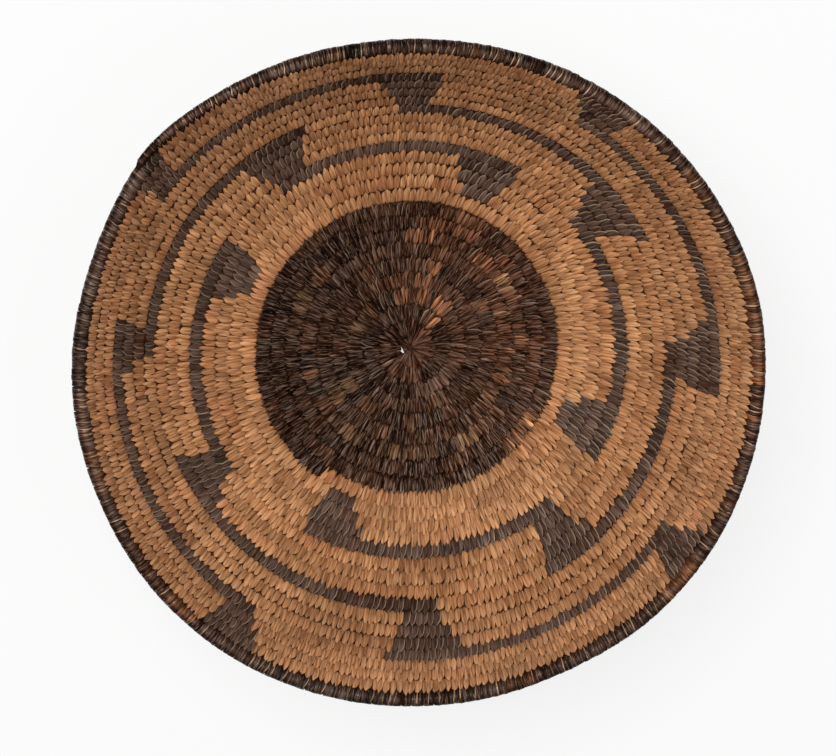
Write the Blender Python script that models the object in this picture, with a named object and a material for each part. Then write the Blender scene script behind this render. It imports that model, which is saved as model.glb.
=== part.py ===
"""Coiled basket tray: one long coil of rods, wound in a spiral and sewn row to row into a shallow bowl.

The wall is laid out in coil coordinates. A station is a place along the coil, given in turns from
its start, and a boundary is the arc length from the middle of the tray to the edge between two
rows. Each stretch of the wall that is sewn in one colour is its own solid: the dark middle, the
first willow row, four willow fields, four dark stepped arms and the dark rim.
"""

import math

import bmesh
import bpy
import numpy as np

# The coil, in metres and turns
START_TURN = 0.2
END_TURN = 26.3
RIM_TURNS = 1.0
START_AZIMUTH = math.radians(30.6)
PITCH_AT_START = 0.0080
PITCH_AT_RIM = 0.0060
COIL_THICKNESS = 0.0065
SEAM_THICKNESS = 0.0050
KNOT_RADIUS = 0.0040

# The bowl's profile along its arc
FLAT_BASE_ARC = 0.020
FULL_SLOPE_ARC = 0.180
RIM_SLOPE = math.radians(50.0)
SLOPE_SHARPNESS = 1.4

# The rim is a little out of true: higher on two sides and wider across the other two, with a few
# lesser bulges, each given as (bulges round the rim, how far out, where the first one is), and
# dents, each given as (how far out, where it is, how wide), which fade faster down the wall
RIM_WAVE = 0.0036
RIM_OVAL = 0.0026
WAVE_AZIMUTH = math.radians(74.0)
RIM_BULGES = ((3, 0.0008, math.radians(20.4)), (4, 0.0011, math.radians(51.3)))
RIM_DENTS = (
    (-0.0036, math.radians(160.2), math.radians(12.0)), (0.0019, math.radians(139.2), math.radians(6.9)),
    (-0.0012, math.radians(105.5), math.radians(16.4)), (-0.0009, math.radians(43.1), math.radians(15.1)),
    (-0.0009, math.radians(190.7), math.radians(14.4)), (-0.0006, math.radians(222.8), math.radians(19.1)),
    (0.0008, math.radians(11.6), math.radians(8.3)), (-0.0011, math.radians(298.3), math.radians(8.3)),
)
DENT_FADE = 4

# The taper where the coil runs out, and the rods that show there
TAPER_TURNS = 0.10
TAPER_WIDTH = 0.45
ROD_TIP_LENGTH = 0.006
ROD_TIP_RADIUS = 0.0012
ROD_TIP_POINT_RADIUS = 0.0005
ROD_TIP_POINTS = 5

# Fits and facets
KNOT_TURNS = 1.0
CLEARANCE = 0.0003
STATIONS_PER_TURN = 60
MIDDLE_STATIONS_PER_TURN = 30
PROFILE_STEPS = 2000
PROFILE_REACH = 1.05
NORMAL_STEP = 1e-5
KNOT_SEGMENTS = 16
KNOT_RINGS = 8

# Places across a row, from its inner seam to its outer seam, that stand at full thickness
ROUND_ROW = (0.5,)
FLAT_ROW = (0.25, 0.75)

# The colour changes here, in turns from the start; willow rows are counted outwards from 1
FIELD_TURN = 9.5667

# A dark arm is four stepped blocks. Each block is a top row at (willow row, start in degrees), a
# width in degrees, and the number of shorter rows under it. The top row runs on round the bowl
# until it lies under the next block's lowest row.
ARM_BLOCKS = {
    "dark_arm_1": ((5, 60.7, 16.4, 3), (9, 114.1, 16.1, 3), (12, 169.2, 10.9, 2), (15, 228.7, 10.5, 2)),
    "dark_arm_2": ((5, 146.6, 16.1, 3), (8, 201.5, 14.7, 2), (13, 264.0, 15.6, 3), (16, 321.2, 10.2, 2)),
    "dark_arm_3": ((5, 238.0, 16.8, 3), (9, 302.1, 14.8, 3), (13, 355.2, 14.6, 3), (16, 51.3, 10.1, 2)),
    "dark_arm_4": ((5, 330.0, 15.9, 3), (9, 28.9, 17.0, 3), (13, 84.8, 12.0, 3), (16, 137.5, 7.7, 2)),
}
BLOCK_TRIM = 1.5

WILLOW = (0.50, 0.30, 0.16)
DEVILS_CLAW = (0.055, 0.040, 0.034)
ROD_BROWN = (0.30, 0.19, 0.10)

TRAY = "coiled_basket_tray"


def clear_scene():
    for thing in list(bpy.data.objects):
        bpy.data.objects.remove(thing, do_unlink=True)


def new_collection(name):
    collection = bpy.data.collections.new(name)
    bpy.context.scene.collection.children.link(collection)
    return collection


def fibre_material(name, colour, roughness):
    """A sewn plant fibre: plain colour, slightly shiny on dark splints."""
    material = bpy.data.materials.new(name)
    material.use_nodes = True
    shader = material.node_tree.nodes["Principled BSDF"]
    shader.inputs["Base Color"].default_value = (*colour, 1.0)
    shader.inputs["Roughness"].default_value = roughness
    shader.inputs["Metallic"].default_value = 0.0
    return material


def row_edge(turn):
    """Arc length from the middle to the inner seam of the row at this turn.

    The first turn winds round the knot, then each turn is a pitch further out, and the pitch
    shrinks evenly towards the rim. The last outer seam draws in where the coil runs out.
    """
    wound = np.maximum(np.asarray(turn, dtype=float) - KNOT_TURNS, 0.0)
    half_shrink = 0.5 * (PITCH_AT_RIM - PITCH_AT_START) / END_TURN
    edge = KNOT_RADIUS + PITCH_AT_START * wound + half_shrink * wound ** 2
    run_out = np.clip((wound - END_TURN + TAPER_TURNS) / TAPER_TURNS, 0.0, 1.0)
    last_pitch = PITCH_AT_RIM
    return edge - last_pitch * (1.0 - TAPER_WIDTH) * run_out


WALL_ARC = float(row_edge(END_TURN + KNOT_TURNS - TAPER_TURNS))


def bowl_profile():
    """Radius and height of the wall's middle surface against arc length.

    The wall is level over the base, then its slope rises as a power of a sine to the rim's slope.
    """
    arc = np.linspace(0.0, WALL_ARC * PROFILE_REACH, PROFILE_STEPS)
    share = np.clip((arc - FLAT_BASE_ARC) / (FULL_SLOPE_ARC - FLAT_BASE_ARC), 0.0, 1.0)
    slope = RIM_SLOPE * np.sin(0.5 * math.pi * share) ** SLOPE_SHARPNESS
    step = arc[1]
    radius = np.concatenate([[0.0], np.cumsum(np.cos(0.5 * (slope[1:] + slope[:-1])) * step)])
    height = np.concatenate([[0.0], np.cumsum(np.sin(0.5 * (slope[1:] + slope[:-1])) * step)])
    return arc, radius, height + 0.5 * COIL_THICKNESS


PROFILE = bowl_profile()


def middle_surface(arc, azimuth):
    """A point of the wall's middle surface: the turned profile, with the rim's wave, oval, bulges and dents."""
    arc_table, radius_table, height_table = PROFILE
    rise = np.clip((arc - FLAT_BASE_ARC) / (WALL_ARC - FLAT_BASE_ARC), 0.0, None) ** 2
    wave = np.cos(2.0 * (azimuth - WAVE_AZIMUTH))
    for bulges, reach, first in RIM_BULGES:
        arc = arc + reach * rise * np.cos(bulges * (azimuth - first))
    radius = np.interp(arc, arc_table, radius_table) - RIM_OVAL * rise * wave
    for reach, place, width in RIM_DENTS:
        away = (azimuth - place + math.pi) % (2.0 * math.pi) - math.pi
        radius = radius + reach * rise ** DENT_FADE * np.exp(-0.5 * (away / width) ** 2)
    height = np.interp(arc, arc_table, height_table) + RIM_WAVE * rise * wave
    return np.stack([radius * np.cos(azimuth), radius * np.sin(azimuth), height], axis=-1)


def wall_point(arc, azimuth, lift):
    """A point at a distance above the middle surface, along its normal, which points into the bowl."""
    here = middle_surface(arc, azimuth)
    further_out = middle_surface(arc + NORMAL_STEP, azimuth)
    along_arc = further_out - here
    along_row = middle_surface(arc + NORMAL_STEP, azimuth + NORMAL_STEP) - further_out
    normal = np.cross(along_arc, along_row)
    normal /= np.linalg.norm(normal, axis=-1, keepdims=True)
    return here + normal * np.asarray(lift)[..., None]


def station_azimuth(station, per_turn):
    return START_AZIMUTH + 2.0 * math.pi * station / per_turn


class WallSolid:
    """One stretch of the sewn wall: a set of cells, each one station long and one row wide.

    Cell c lies between stations c and c + 1, and cell c + per_turn is the same place one row
    further out. The faces are built by hand, because the stretch is a ridged spiral sheet with a
    stepped outline, which no primitive or modifier gives.
    """

    def __init__(self, cells, per_turn, lanes):
        self.cells = set(cells)
        self.per_turn = per_turn
        self.lanes = lanes
        self.points = {}

    def gap_steps(self, station, seam_side):
        """Which way an edge point moves, across the row and along it, to keep clear of neighbours.

        seam_side is 1 on a row's inner seam, -1 on its outer seam and 0 between its seams.
        """
        outer = (station - 1 in self.cells, station in self.cells)
        if seam_side == 0:
            return 0, int(outer[1]) - int(outer[0])
        inner = (station - self.per_turn - 1 in self.cells, station - self.per_turn in self.cells)
        if self.is_crossing(outer, inner):
            own = outer if seam_side > 0 else inner
            return seam_side, int(own[1]) - int(own[0])
        across = sum(outer) - sum(inner)
        along = int(outer[1]) + int(inner[1]) - int(outer[0]) - int(inner[0])
        return int(np.sign(across)), int(np.sign(along))

    def is_crossing(self, outer, inner):
        """True where two cells meet only at a corner, as the ends of a single full turn do."""
        return sum(outer) == 1 and sum(inner) == 1 and outer != inner

    def seam_is_crossing(self, station):
        outer = (station - 1 in self.cells, station in self.cells)
        inner = (station - self.per_turn - 1 in self.cells, station - self.per_turn in self.cells)
        return self.is_crossing(outer, inner)

    def row_thickness(self, turn, width):
        """Full thickness on a row of full width, and less where the coil runs out."""
        if turn < END_TURN - TAPER_TURNS:
            return COIL_THICKNESS
        full_width = float(row_edge(turn) - row_edge(turn - 1.0))
        return SEAM_THICKNESS + (COIL_THICKNESS - SEAM_THICKNESS) * min(1.0, width / full_width)

    def place(self, station, lane, face):
        """Index of a corner: lane 0 is the row's inner seam and the last lane its outer seam."""
        seam_side = 0
        if lane == 0:
            seam_side = 1
        if lane > len(self.lanes):
            seam_side = -1
            station += self.per_turn
        split = seam_side if seam_side and self.seam_is_crossing(station) else 0
        key = (station, lane if seam_side == 0 else 0, face, split)
        if key not in self.points:
            turn = station / self.per_turn
            arc = float(row_edge(turn))
            thickness = SEAM_THICKNESS
            if seam_side == 0:
                width = float(row_edge(turn + 1.0)) - arc
                arc += width * self.lanes[lane - 1]
                thickness = self.row_thickness(turn, width)
            across, along = self.gap_steps(station, seam_side)
            azimuth = station_azimuth(station, self.per_turn) + along * 0.5 * CLEARANCE / arc
            arc += across * 0.5 * CLEARANCE
            corner = wall_point(np.array(arc), np.array(azimuth), 0.5 * thickness * face)
            self.points[key] = (len(self.points), corner)
        return self.points[key][0]

    def faces(self):
        last = len(self.lanes) + 1
        for cell in sorted(self.cells):
            for lane in range(last):
                for face in (1, -1):
                    quad = [self.place(cell, lane, face), self.place(cell, lane + 1, face),
                            self.place(cell + 1, lane + 1, face), self.place(cell + 1, lane, face)]
                    yield quad if face > 0 else quad[::-1]
            for lane, neighbour, turned in ((0, cell - self.per_turn, False), (last, cell + self.per_turn, True)):
                if neighbour not in self.cells:
                    quad = [self.place(cell, lane, -1), self.place(cell, lane, 1),
                            self.place(cell + 1, lane, 1), self.place(cell + 1, lane, -1)]
                    yield quad[::-1] if turned else quad
            for station, neighbour, turned in ((cell, cell - 1, False), (cell + 1, cell + 1, True)):
                if neighbour not in self.cells:
                    for lane in range(last):
                        quad = [self.place(station, lane, 1), self.place(station, lane, -1),
                                self.place(station, lane + 1, -1), self.place(station, lane + 1, 1)]
                        yield quad[::-1] if turned else quad

    def to_object(self, name, material, collection):
        faces = list(self.faces())
        corners = [corner.tolist() for _, corner in self.points.values()]
        mesh = bpy.data.meshes.new(name)
        mesh.from_pydata(corners, [], faces)
        mesh.update()
        return add_object(name, mesh, material, collection)


def add_object(name, mesh, material, collection):
    mesh.materials.append(material)
    thing = bpy.data.objects.new(name, mesh)
    collection.objects.link(thing)
    return thing


def start_knot(material, collection):
    """The knot that the coil starts from: a flattened button as thick as the coil."""
    shape = bmesh.new()
    bmesh.ops.create_uvsphere(shape, u_segments=KNOT_SEGMENTS, v_segments=KNOT_RINGS, radius=1.0)
    radius = KNOT_RADIUS - 0.5 * CLEARANCE
    half_height = 0.5 * COIL_THICKNESS
    bmesh.ops.scale(shape, vec=(radius, radius, half_height), verts=shape.verts)
    bmesh.ops.translate(shape, vec=(0.0, 0.0, half_height), verts=shape.verts)
    mesh = bpy.data.meshes.new("start_knot")
    shape.to_mesh(mesh)
    shape.free()
    mesh.shade_smooth()
    return add_object("start_knot", mesh, material, collection)


def rod_tip(material, collection):
    """The thinned ends of the foundation rods, which stand out of the coil where it runs out."""
    end_arc = 0.5 * float(row_edge(END_TURN) + row_edge(END_TURN + 1.0))
    end_radius = float(np.interp(end_arc, PROFILE[0], PROFILE[1]))
    curve = bpy.data.curves.new("foundation_tip", "CURVE")
    curve.dimensions = "3D"
    curve.bevel_depth = ROD_TIP_RADIUS
    curve.bevel_resolution = 1
    curve.use_fill_caps = True
    spline = curve.splines.new("POLY")
    spline.points.add(ROD_TIP_POINTS - 1)
    for index, point in enumerate(spline.points):
        share = index / (ROD_TIP_POINTS - 1)
        azimuth = station_azimuth(END_TURN, 1) + (CLEARANCE + ROD_TIP_LENGTH * share) / end_radius
        place = wall_point(np.array(end_arc), np.array(azimuth), 0.0)
        point.co = (*place.tolist(), 1.0)
        point.radius = 1.0 + (ROD_TIP_POINT_RADIUS / ROD_TIP_RADIUS - 1.0) * share
    thing = bpy.data.objects.new("foundation_tip", curve)
    curve.materials.append(material)
    collection.objects.link(thing)
    return thing


def cell_at(turn):
    return round(turn * STATIONS_PER_TURN)


def first_willow_cell():
    """The colour changes on a station that the coarser middle has too."""
    return round(FIELD_TURN * MIDDLE_STATIONS_PER_TURN) * STATIONS_PER_TURN // MIDDLE_STATIONS_PER_TURN


def first_rim_cell():
    return cell_at(END_TURN) - cell_at(RIM_TURNS)


def willow_turn(row, azimuth_degrees):
    """Turns from the coil's start to a place in a willow row."""
    change_azimuth = START_AZIMUTH + 2.0 * math.pi * FIELD_TURN
    past_change = (math.radians(azimuth_degrees) - change_azimuth) % (2.0 * math.pi)
    return FIELD_TURN + (row - 1) + past_change / (2.0 * math.pi)


def arm_cells(blocks):
    """Cells of one stepped arm: each block's short rows, and its top row up to the next block."""
    cells = set()
    for index, (row, start, width, short_rows) in enumerate(blocks):
        top = willow_turn(row, start)
        for depth in range(1, short_rows + 1):
            trim = BLOCK_TRIM * (depth - 1) / 360.0
            first = cell_at(top - depth + trim)
            last = max(first + 1, cell_at(top - depth + width / 360.0 - trim))
            cells.update(range(first, last))
        last = cell_at(top + width / 360.0)
        if index + 1 < len(blocks):
            next_row, next_start, next_width, next_short = blocks[index + 1]
            next_trim = BLOCK_TRIM * (next_short - 1)
            end = willow_turn(next_row, next_start) - next_short - 1 + (next_width - next_trim) / 360.0
            last = cell_at(end)
        cells.update(range(cell_at(top), last))
    return {cell for cell in cells if cell < first_rim_cell()}


def willow_cells(arms):
    """The first willow row, and the other willow cells, split by the arm that lies behind each."""
    owner = {cell: name for name, cells in arms.items() for cell in cells}
    first = first_willow_cell()
    second = first + STATIONS_PER_TURN
    fields = {name: set() for name in arms}
    for cell in range(second, first_rim_cell()):
        behind = cell
        while behind not in owner:
            behind -= 1
            if behind < second:
                behind += STATIONS_PER_TURN
        if cell not in owner:
            fields[owner[behind]].add(cell)
    return set(range(first, second)), fields


def build_tray():
    clear_scene()
    collection = new_collection(TRAY)
    dark = fibre_material("devils_claw_sewing", DEVILS_CLAW, 0.5)
    willow = fibre_material("willow_sewing", WILLOW, 0.6)
    rods = fibre_material("foundation_rods", ROD_BROWN, 0.7)

    parts = [start_knot(dark, collection)]
    middle_first = round(START_TURN * MIDDLE_STATIONS_PER_TURN)
    middle_last = round(FIELD_TURN * MIDDLE_STATIONS_PER_TURN)
    middle = WallSolid(range(middle_first, middle_last), MIDDLE_STATIONS_PER_TURN, FLAT_ROW)
    parts.append(middle.to_object("dark_middle", dark, collection))

    arms = {name: arm_cells(blocks) for name, blocks in ARM_BLOCKS.items()}
    first_row, fields = willow_cells(arms)
    first = WallSolid(first_row, STATIONS_PER_TURN, ROUND_ROW)
    parts.append(first.to_object("first_willow_row", willow, collection))
    for index, cells in enumerate(fields.values(), start=1):
        field = WallSolid(cells, STATIONS_PER_TURN, ROUND_ROW)
        parts.append(field.to_object("willow_field_%d" % index, willow, collection))
    for name, cells in arms.items():
        parts.append(WallSolid(cells, STATIONS_PER_TURN, ROUND_ROW).to_object(name, dark, collection))

    rim = WallSolid(range(first_rim_cell(), cell_at(END_TURN)), STATIONS_PER_TURN, ROUND_ROW)
    parts.append(rim.to_object("rim_coil", dark, collection))
    parts.append(rod_tip(rods, collection))
    return parts


def centre_on_origin(parts):
    """Move the tray so that the middle of its box stands on the origin."""
    bpy.context.view_layer.update()
    corners = np.array([part.matrix_world @ vertex.co for part in parts if part.type == "MESH"
                        for vertex in part.data.vertices])
    middle = 0.5 * (corners.min(axis=0) + corners.max(axis=0))
    for part in parts:
        part.location = (-middle[0], -middle[1], 0.0)
    bpy.context.view_layer.update()
    size = corners.max(axis=0) - corners.min(axis=0)
    print("tray %.1f x %.1f x %.1f mm, axis at %.2f, %.2f mm"
          % (*(size * 1000.0), -middle[0] * 1000.0, -middle[1] * 1000.0))


centre_on_origin(build_tray())
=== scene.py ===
"""Coiled basket tray: every stitch of the sewing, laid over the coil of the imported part.

The part gives the solids of the wall. Here each stretch of the wall is sewn again in single
stitches: a splint wraps the coil once, from the seam inside its row, over the row, round its outer
edge and back underneath. The shapes are surfaces of two parameters, worked out as whole arrays.
"""

import math

import bpy
import numpy as np
from bpy.props import FloatProperty, FloatVectorProperty, IntProperty, PointerProperty
from mathutils import Matrix, Vector


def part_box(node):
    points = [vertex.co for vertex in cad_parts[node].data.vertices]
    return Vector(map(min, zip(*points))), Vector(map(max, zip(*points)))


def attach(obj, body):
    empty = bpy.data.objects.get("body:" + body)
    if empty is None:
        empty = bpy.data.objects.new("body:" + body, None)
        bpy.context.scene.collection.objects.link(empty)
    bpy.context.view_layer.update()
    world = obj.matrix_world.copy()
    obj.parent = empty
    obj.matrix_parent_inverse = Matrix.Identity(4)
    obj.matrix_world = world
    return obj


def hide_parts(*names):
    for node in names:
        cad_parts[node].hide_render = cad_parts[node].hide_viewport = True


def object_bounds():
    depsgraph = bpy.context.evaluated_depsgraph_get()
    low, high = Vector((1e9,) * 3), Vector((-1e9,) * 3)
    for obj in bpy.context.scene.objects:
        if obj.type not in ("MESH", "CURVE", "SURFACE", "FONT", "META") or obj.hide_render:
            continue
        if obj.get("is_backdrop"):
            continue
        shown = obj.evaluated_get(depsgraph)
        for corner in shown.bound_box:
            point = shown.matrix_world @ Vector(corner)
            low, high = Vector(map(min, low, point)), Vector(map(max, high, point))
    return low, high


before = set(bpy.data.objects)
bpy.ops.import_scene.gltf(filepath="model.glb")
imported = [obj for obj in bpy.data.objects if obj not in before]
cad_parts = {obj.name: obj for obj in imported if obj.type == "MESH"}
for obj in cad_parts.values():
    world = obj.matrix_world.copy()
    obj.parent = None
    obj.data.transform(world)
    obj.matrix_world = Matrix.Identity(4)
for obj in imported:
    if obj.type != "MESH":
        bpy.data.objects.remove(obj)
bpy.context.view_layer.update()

bl_info = {
    "name": "Coiled Basket Tray",
    "version": (1, 0, 0),
    "blender": (4, 5, 0),
    "location": "View3D > Sidebar > Basket Tray",
    "description": "Sews a coiled basket tray stitch by stitch over its coil",
    "category": "Add Mesh",
}

# The coil, as the part has it, in metres and turns, and the least share of its thickness anywhere
START_TURN = 0.2
END_TURN = 26.3058
RIM_TURNS = 1.0
KNOT_TURNS = 1.0
START_AZIMUTH = math.radians(30.6)
PITCH_AT_START = 0.0080
PITCH_AT_RIM = 0.0060
COIL_THICKNESS = 0.0065
HALF_COIL = 0.5 * COIL_THICKNESS
THINNEST = 0.25
KNOT_RADIUS = 0.0040

# The bowl's profile along its arc, how far its rim is out of true, and how the coil's end thins
FLAT_BASE_ARC = 0.020
FULL_SLOPE_ARC = 0.180
RIM_SLOPE = math.radians(50.0)
SLOPE_SHARPNESS = 1.4
RIM_WAVE = 0.0036
RIM_OVAL = 0.0026
WAVE_AZIMUTH = math.radians(74.0)
RIM_BULGES = ((3, 0.0008, math.radians(20.4)), (4, 0.0011, math.radians(51.3)))
# Dents and swellings of the rim: (how far out, where, how wide), in metres and degrees
RIM_DENTS = ((-0.0036, 160.2, 12.0), (0.0019, 139.2, 6.9), (-0.0012, 105.5, 16.4), (-0.0009, 43.1, 15.1),
             (-0.0009, 190.7, 14.4), (-0.0006, 222.8, 19.1), (0.0008, 11.6, 8.3), (-0.0011, 298.3, 8.3))
DENT_FADE = 4
TAPER_TURNS = 0.10
TAPER_WIDTH = 0.45
PROFILE_STEPS = 2000
COIL_STEPS = 8000
PROFILE_REACH = 1.05
NORMAL_STEP = 1e-5

# How far the sewing's face is drawn out from the coil's own seams, in millimetres along the wall: at
# some turns, the mean, then the cosine and the sine of one, two and three times the azimuth
DRAW_TURNS = (1.0, 5.0, 9.0, 13.0, 17.0, 21.0, 24.0, 25.3)
FACE_DRAW = np.array([
    (0.0, 0.0, 0.0, 0.0, 0.0, 0.0, 0.0), (0.28, 0.50, 0.70, -0.45, 0.15, -0.15, 0.04),
    (1.01, -0.09, -0.55, -0.65, 0.38, 0.01, 0.26), (0.85, 0.28, 1.05, -0.38, 0.75, -0.40, -0.85),
    (1.05, 0.48, 0.79, -0.22, 0.33, -0.30, -0.14), (2.07, 0.52, -0.03, -0.78, 0.21, -0.62, -0.05),
    (1.22, 0.14, 0.91, -0.37, 0.57, -0.42, -0.23), (0.37, 0.04, 0.27, -0.11, 0.17, -0.13, -0.07),
])

# The hand's slow wander in the seams: (waves a turn, share of the wander, phase)
SEAM_WAVES = ((3.37, 0.45, 0.4), (7.91, 0.30, 2.1), (15.3, 0.25, 4.0))

# The dark middle ends here, in turns from the start, and the willow rows are counted outwards from 1
FIELD_TURN = 9.5667

# The dark arms in each willow row from the second on: (first azimuth, last azimuth) in degrees,
# and nothing where the row before runs on through a row
ARM_RUNS = {
    "dark_arm_1": (
        (63.4, 73.2), (61.7, 75.9), (60.5, 77.1), (61.0, 127.1), (118.3, 127.9), (116.8, 129.5),
        (115.7, 130.2), (114.1, 177.8), (171.1, 178.1), (170.1, 180.1), (169.2, 236.4), (230.4, 237.3),
        (229.7, 238.6), (228.7, 239.3)),
    "dark_arm_2": (
        (149.5, 159.7), (147.7, 161.9), (146.7, 162.7), (146.6, 212.4), (204.2, 213.1), (203.4, 216.2),
        (201.5, 275.6), (), (267.7, 276.2), (266.4, 278.0), (265.6, 279.6), (264.0, 328.2),
        (322.7, 328.8), (322.1, 330.1), (321.2, 331.4)),
    "dark_arm_3": (
        (239.6, 249.8), (239.0, 252.5), (237.4, 254.8), (238.5, 313.6), (305.2, 313.9), (304.5, 314.7),
        (303.7, 316.9), (302.1, 4.8), (356.9, 5.9), (355.6, 7.9), (355.2, 9.8), (355.2, 58.3),
        (52.1, 59.1), (51.5, 60.3), (51.3, 61.4)),
    "dark_arm_4": (
        (332.8, 342.6), (331.3, 345.2), (330.0, 345.9), (330.1, 41.7), (33.6, 43.0), (32.4, 44.9),
        (31.2, 45.9), (28.9, 93.2), (86.9, 94.1), (85.7, 95.6), (84.8, 96.8), (85.2, 144.7),
        (138.5, 143.9), (138.2, 144.7), (137.5, 140.7)),
}

# Redder splints in the dark middle, by tone: (turn at the middle of the patch, degrees wide)
MIDDLE_PATCHES = {
    "copper": (
        (2.061, 16), (3.075, 15), (3.131, 13), (3.187, 15), (3.305, 15), (4.139, 14), (5.122, 11),
        (5.832, 9), (5.860, 7), (6.456, 8), (6.504, 6), (6.925, 5), (7.063, 10), (7.154, 14), (7.303, 8),
        (8.812, 7)),
    "gold": (
        (3.354, 17), (4.495, 14), (5.505, 13), (6.572, 14), (6.631, 10), (6.754, 12), (7.017, 9),
        (7.348, 10)),
    "brown": (
        (3.741, 21), (4.210, 5), (4.570, 15), (4.665, 12), (5.001, 11), (5.252, 9), (5.617, 10),
        (5.802, 12), (5.975, 6), (6.116, 7), (6.539, 11), (6.682, 17), (6.801, 13), (7.725, 8),
        (9.104, 6), (9.477, 8)),
    "tan": (
        (8.792, 7), (8.828, 4)),
}

# Redder splints in the rim
RIM_PATCHES = {
    "brown": (
        (25.4585, 9), (25.7175, 6), (25.9515, 18), (26.014, 6), (26.205, 4.5)),
    "copper": (
        (25.5385, 6), (25.810, 8), (25.8495, 3), (25.8965, 1.2), (25.9185, 5), (26.139, 1.2),
        (26.2475, 1.2)),
}

# How a splint lies on a row, from the seam inside the row to its outer edge: (share of the way
# across the row, share of half the coil's thickness, share of the stitch's width, share of colour).
# The share of colour is painted shade where a splint dives into the seam and round its outer edge,
# and a painted highlight towards its outer end
ROW_FRONT = np.array([
    (-0.15, 0.44, 0.72, 0.60), (-0.06, 0.67, 0.87, 0.82), (0.05, 0.84, 0.97, 0.91),
    (0.19, 0.94, 1.00, 0.92), (0.45, 1.00, 1.00, 0.96), (0.76, 1.03, 1.00, 1.05),
    (0.96, 1.03, 0.84, 1.10), (1.13, 1.02, 0.46, 1.09), (1.28, 1.00, 0.08, 1.02),
])
ROW_EDGE = np.array([(1.14, 0.0, 0.08, 0.2)])
ROW_BACK = np.array([
    (1.10, -0.86, 0.40, 0.95), (0.92, -0.97, 0.97, 1.00), (0.45, -1.01, 1.00, 1.00),
    (0.09, -0.86, 0.97, 0.90), (-0.06, -0.42, 0.80, 0.30),
])
RIM_FRONT = np.array([
    (-0.15, 0.44, 0.72, 0.28), (-0.06, 0.67, 0.87, 0.45), (0.05, 0.84, 0.97, 0.60),
    (0.19, 0.95, 1.00, 0.66), (0.42, 1.00, 1.02, 0.78), (0.66, 0.98, 1.04, 1.02),
    (0.84, 0.83, 1.06, 1.40), (0.96, 0.56, 1.06, 1.15), (1.03, 0.27, 1.06, 0.48),
])
RIM_EDGE = np.array([(1.05, 0.0, 1.06, 0.30)])
RIM_BACK = np.array([
    (1.02, -0.40, 1.02, 0.35), (0.86, -0.84, 1.01, 0.90), (0.45, -1.00, 1.00, 1.00),
])
ROW_PATH = np.vstack([ROW_FRONT, ROW_EDGE, ROW_BACK])
RIM_PATH = np.vstack([RIM_FRONT, RIM_EDGE, RIM_BACK, ROW_BACK[-2:]])

# Corners across a splint: its two edges and its two shoulders, and which way the surface faces there
SIDES = np.array([-1.0, -0.82, 0.82, 1.0])
SIDE_DEPTH = np.array([1.0, 0.0, 0.0, 1.0])
SIDE_TILT = np.radians([-56.0, -11.0, 11.0, 56.0])
# Where the pale line along one edge of a dark splint starts and where it has its full strength
LINE_START = 0.58
LINE_FULL = 0.72

# Where shade is painted on a splint, its red falls less and its blue more: powers of the share of colour
SHADE_POWERS = np.array([0.80, 1.05, 1.20])

# Stitches lie closer in some stretches than in others: (waves a turn, share, phase)
CLOSENESS_WAVES = ((1.63, 0.35, 1.1), (4.29, 0.35, 5.0), (9.07, 0.30, 2.6))

# A stitch starts in the notch between two stitches of the row inside it: how strongly it is drawn
# there, and where the notch lies, as a share of a stitch, because the splints lean
NOTCH_PULL = 0.85
NOTCH_PHASE = 0.78
# The longest stretch that is counted at once, in turns, how far a cut wanders, as a share of a
# stitch, and the steps that a stitch is measured in
LONGEST_RUN = 0.5
CUT_WANDER = 0.13
FINE_STEPS = 12
# The stitches of one splint: the fewest, and one more than the most
SPLINT_STITCHES = (5, 15)

# How the stitches differ by hand, as (mean, spread): how much they crown, lean, slide at their tip
# and roll, the last in metres. Some are slimmer by a share, where a draw passes a limit, up to a
# most, and each one's surface faces a little to one side, in radians
HAND = {"crown": (0.0, 0.045), "lean": (0.13, 0.05), "skew": (-0.10, 0.10), "roll": (0.0, 0.00008)}
SLIM_SHARE = 0.06
SLIM_FROM = 0.3
SLIM_MOST = 2.0
NORMAL_ROLL = 0.07
# Shares of the way across a row: from where the tips differ in length, where the lean has its middle,
# and where a tip starts and ends to slide
TOOTH_FROM = 0.8
LEAN_MIDDLE = 0.45
SKEW_RANGE = (0.7, 1.15)

# A stitch's own light varies by this share of its splint's, and neither goes past these limits
OWN_SPREAD = 0.6
LIGHT_LIMITS = (0.45, 1.7)
# In a patch: how much the light varies and its limits, how many stitches take the patch's tone, how
# much of it they take, and how much the others take
PATCH_SPREAD = 0.25
PATCH_LIGHT = (0.5, 1.6)
PATCH_STITCHES = 0.82
PATCH_SHARE = (0.7, 1.0)
PATCH_REST = 0.2

# The willow's tint grows over these turns, and the dark middle's darker start ends over these
OUTER_TURNS = (15.0, 23.0)
FIRST_TURNS = (1.2, 3.0)
# Each strip's fibres start at random within this many millimetres. A radian round a bundle or a
# knot's loop, across a knot's stitch and round a single rod counts as this many
FIBRE_REACH = 900.0
FIBRES_ROUND = 3.0
FIBRES_KNOT = 4.0
FIBRES_ROD = 1.5
TO_MILLIMETRES = 1000.0

# The sewn knot's radius, and the slit between it and the first turn: where it is, half its length,
# and how far it goes into the knot and out into the turn
KNOT_SIZE = 0.0041
SLIT_AZIMUTH = math.radians(205.0)
SLIT_HALF_ANGLE = math.radians(19.0)
SLIT_IN = 0.0004
SLIT_OUT = 0.0011
# The knot's stitches, the corners round each one's loop, how square a loop is, the hole at the
# middle, and a loop's height at the middle and its gain by the edge, as shares of half the coil
KNOT_STITCHES = 15
KNOT_CORNERS = 12
KNOT_SQUARENESS = 0.55
KNOT_HOLE = 0.00015
KNOT_HEIGHT = 0.78
KNOT_EDGE_GAIN = 0.12
# How far they wander to a side, how wide they are and how far they reach, as shares of an even
# stitch, and the power by which a loop runs out from the middle
KNOT_WANDER = 0.15
KNOT_WIDTHS = (1.02, 1.16)
KNOT_REACHES = (0.98, 1.03)
KNOT_RUN = 0.9
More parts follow.
